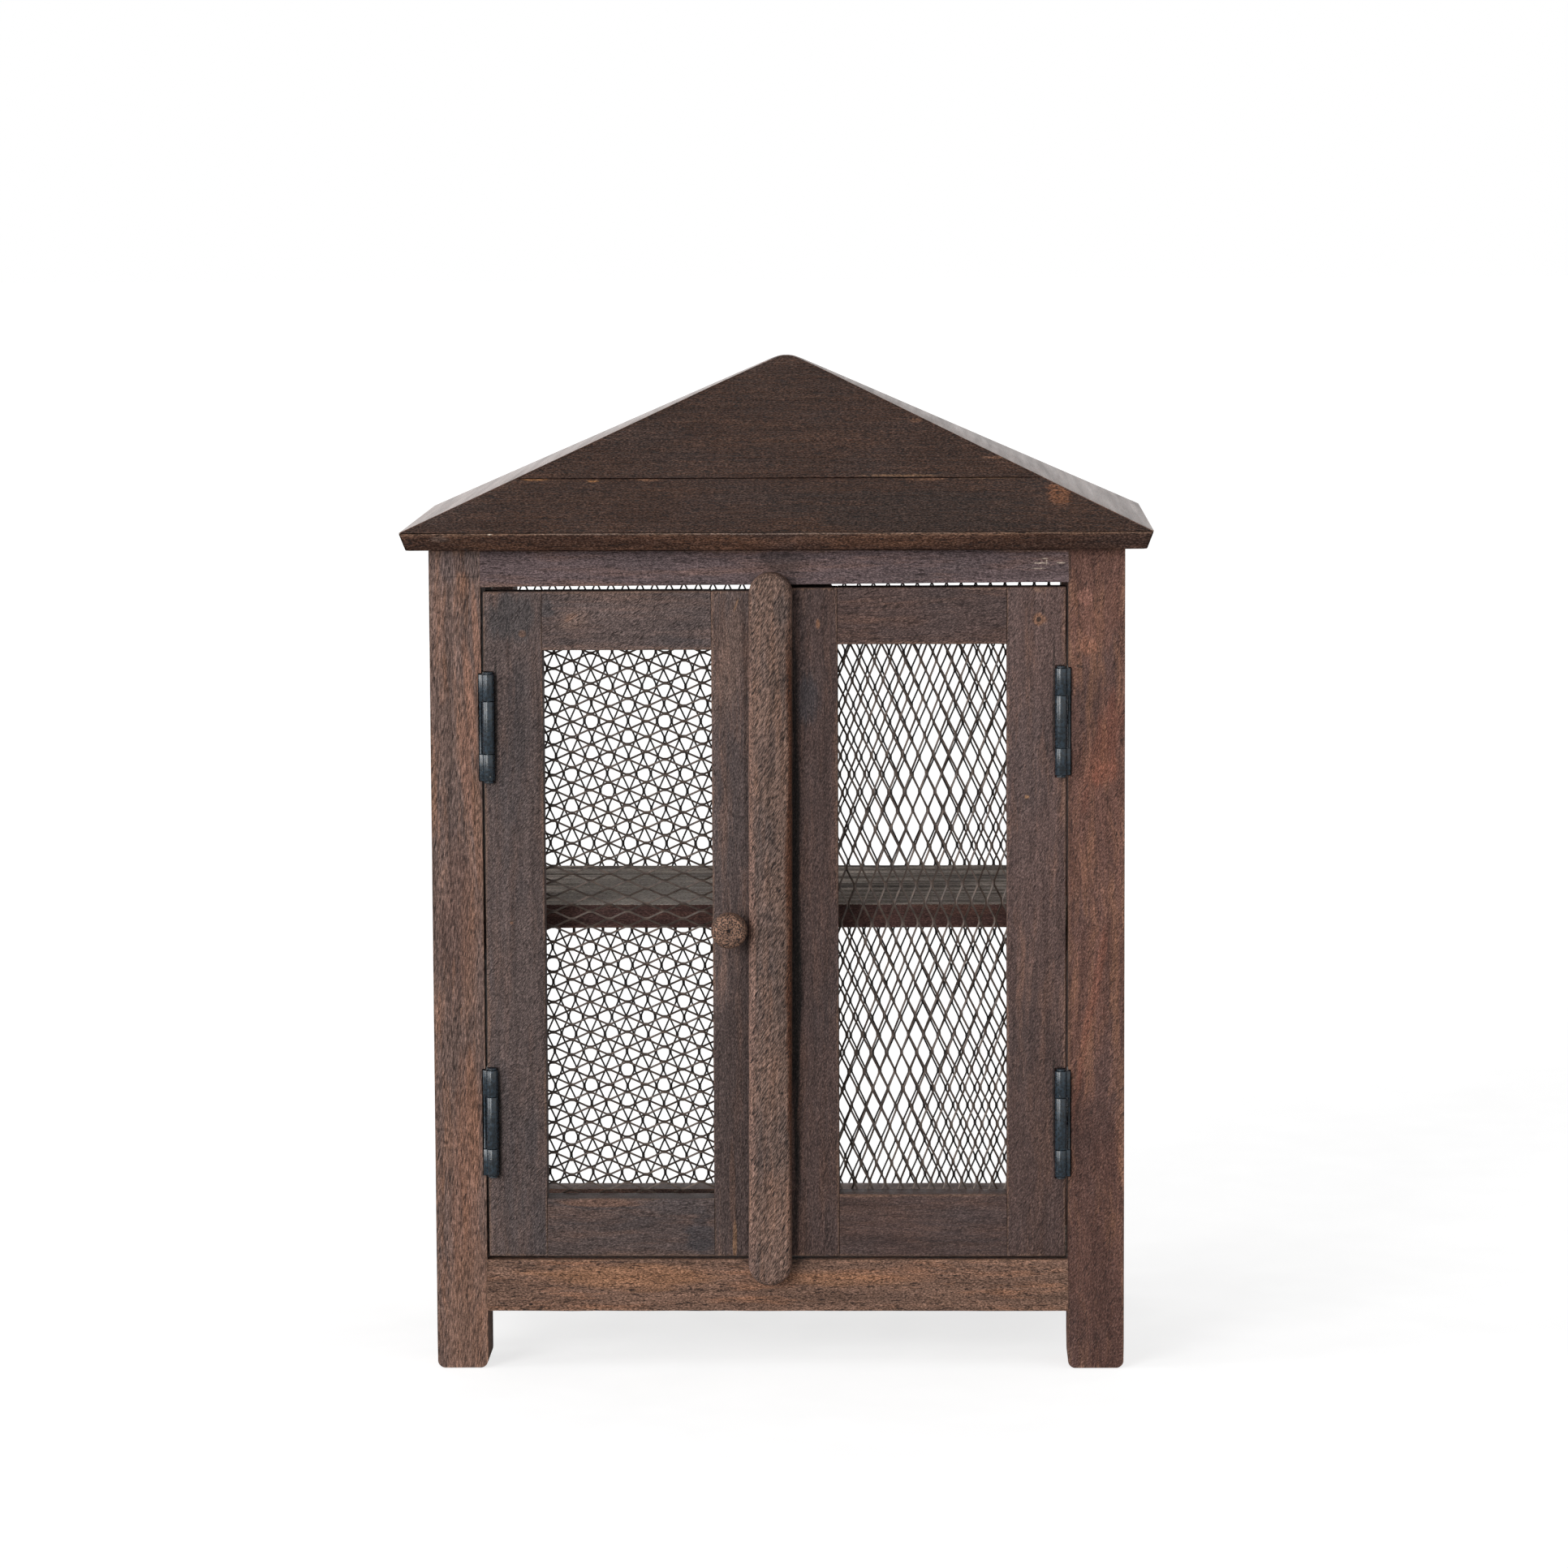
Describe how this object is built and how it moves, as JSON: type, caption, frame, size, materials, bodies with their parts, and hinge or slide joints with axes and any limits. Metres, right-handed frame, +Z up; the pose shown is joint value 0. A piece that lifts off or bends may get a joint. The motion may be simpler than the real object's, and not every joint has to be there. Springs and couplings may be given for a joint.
{
  "type": "pie safe",
  "caption": "Tabletop pie safe in dark stained wood: hipped roof, hinged mesh doors with a cover batten and knob, mesh back and sides, and a shelf.",
  "frame": {"origin": "on the ground below the middle of the whole object's box, knob included", "axes": "+Z up, -Y out of the doors, +X to the right as seen from the front"},
  "size_m": [0.3556, 0.2074, 0.4826],
  "materials": {
    "frame_wood": "dark brown stained reclaimed hardwood with orange brown rubbed edges",
    "door_wood": "dark brown stained reclaimed hardwood",
    "roof_wood": "dark brown stained hardwood with chipped edges",
    "shelf_wood": "weathered grey brown wood",
    "batten_wood": "open pored brown wood, worn round at the edges",
    "hinge_steel": "black lacquered steel",
    "mesh_steel": "dark brown coated expanded steel"
  },
  "bodies": {
    "cabinet": {"front_left_post": "frame_wood", "front_right_post": "frame_wood", "back_left_post": "frame_wood", "back_right_post": "frame_wood", "front_bottom_rail": "frame_wood", "back_bottom_rail": "frame_wood", "left_bottom_rail": "frame_wood", "right_bottom_rail": "frame_wood", "front_top_rail": "frame_wood", "back_top_rail": "frame_wood", "left_top_rail": "frame_wood", "right_top_rail": "frame_wood", "floor_board": "shelf_wood", "shelf": "shelf_wood", "left_shelf_cleat": "shelf_wood", "right_shelf_cleat": "shelf_wood", "door_stop": "door_wood", "back_mesh": "mesh_steel", "left_side_mesh": "mesh_steel", "right_side_mesh": "mesh_steel", "front_eave_board": "roof_wood", "back_eave_board": "roof_wood", "left_eave_board": "roof_wood", "right_eave_board": "roof_wood", "ceiling_board": "shelf_wood", "front_lower_roof_board": "roof_wood", "front_upper_roof_board": "roof_wood", "back_lower_roof_board": "roof_wood", "back_upper_roof_board": "roof_wood", "left_roof_board": "roof_wood", "right_roof_board": "roof_wood", "left_upper_hinge_frame_leaf": "hinge_steel", "left_upper_hinge_pin": "hinge_steel", "left_lower_hinge_frame_leaf": "hinge_steel", "left_lower_hinge_pin": "hinge_steel", "right_upper_hinge_frame_leaf": "hinge_steel", "right_upper_hinge_pin": "hinge_steel", "right_lower_hinge_frame_leaf": "hinge_steel", "right_lower_hinge_pin": "hinge_steel"},
    "left_door": {"left_door_hinge_stile": "door_wood", "left_door_meeting_stile": "door_wood", "left_door_bottom_rail": "door_wood", "left_door_top_rail": "door_wood", "left_door_mesh": "mesh_steel", "meeting_batten": "batten_wood", "knob": "batten_wood", "knob_screw": "hinge_steel", "left_upper_hinge_door_leaf": "hinge_steel", "left_lower_hinge_door_leaf": "hinge_steel"},
    "right_door": {"right_door_hinge_stile": "door_wood", "right_door_meeting_stile": "door_wood", "right_door_bottom_rail": "door_wood", "right_door_top_rail": "door_wood", "right_door_mesh": "mesh_steel", "right_upper_hinge_door_leaf": "hinge_steel", "right_lower_hinge_door_leaf": "hinge_steel"}
  },
  "joints": [
    {"name": "left_door_swing", "type": "hinge", "parent": "cabinet", "child": "left_door", "pos_m": [-0.137, -0.08765, 0.2145], "axis": [0, 0, -1], "range_deg": [0, 160]},
    {"name": "right_door_swing", "type": "hinge", "parent": "cabinet", "child": "right_door", "pos_m": [0.1345, -0.08765, 0.2145], "axis": [0, 0, 1], "range_deg": [0, 160]}
  ],
  "couplings": [
    {"joint": "right_door_swing", "follows": "left_door_swing", "ratio": 1}
  ]
}
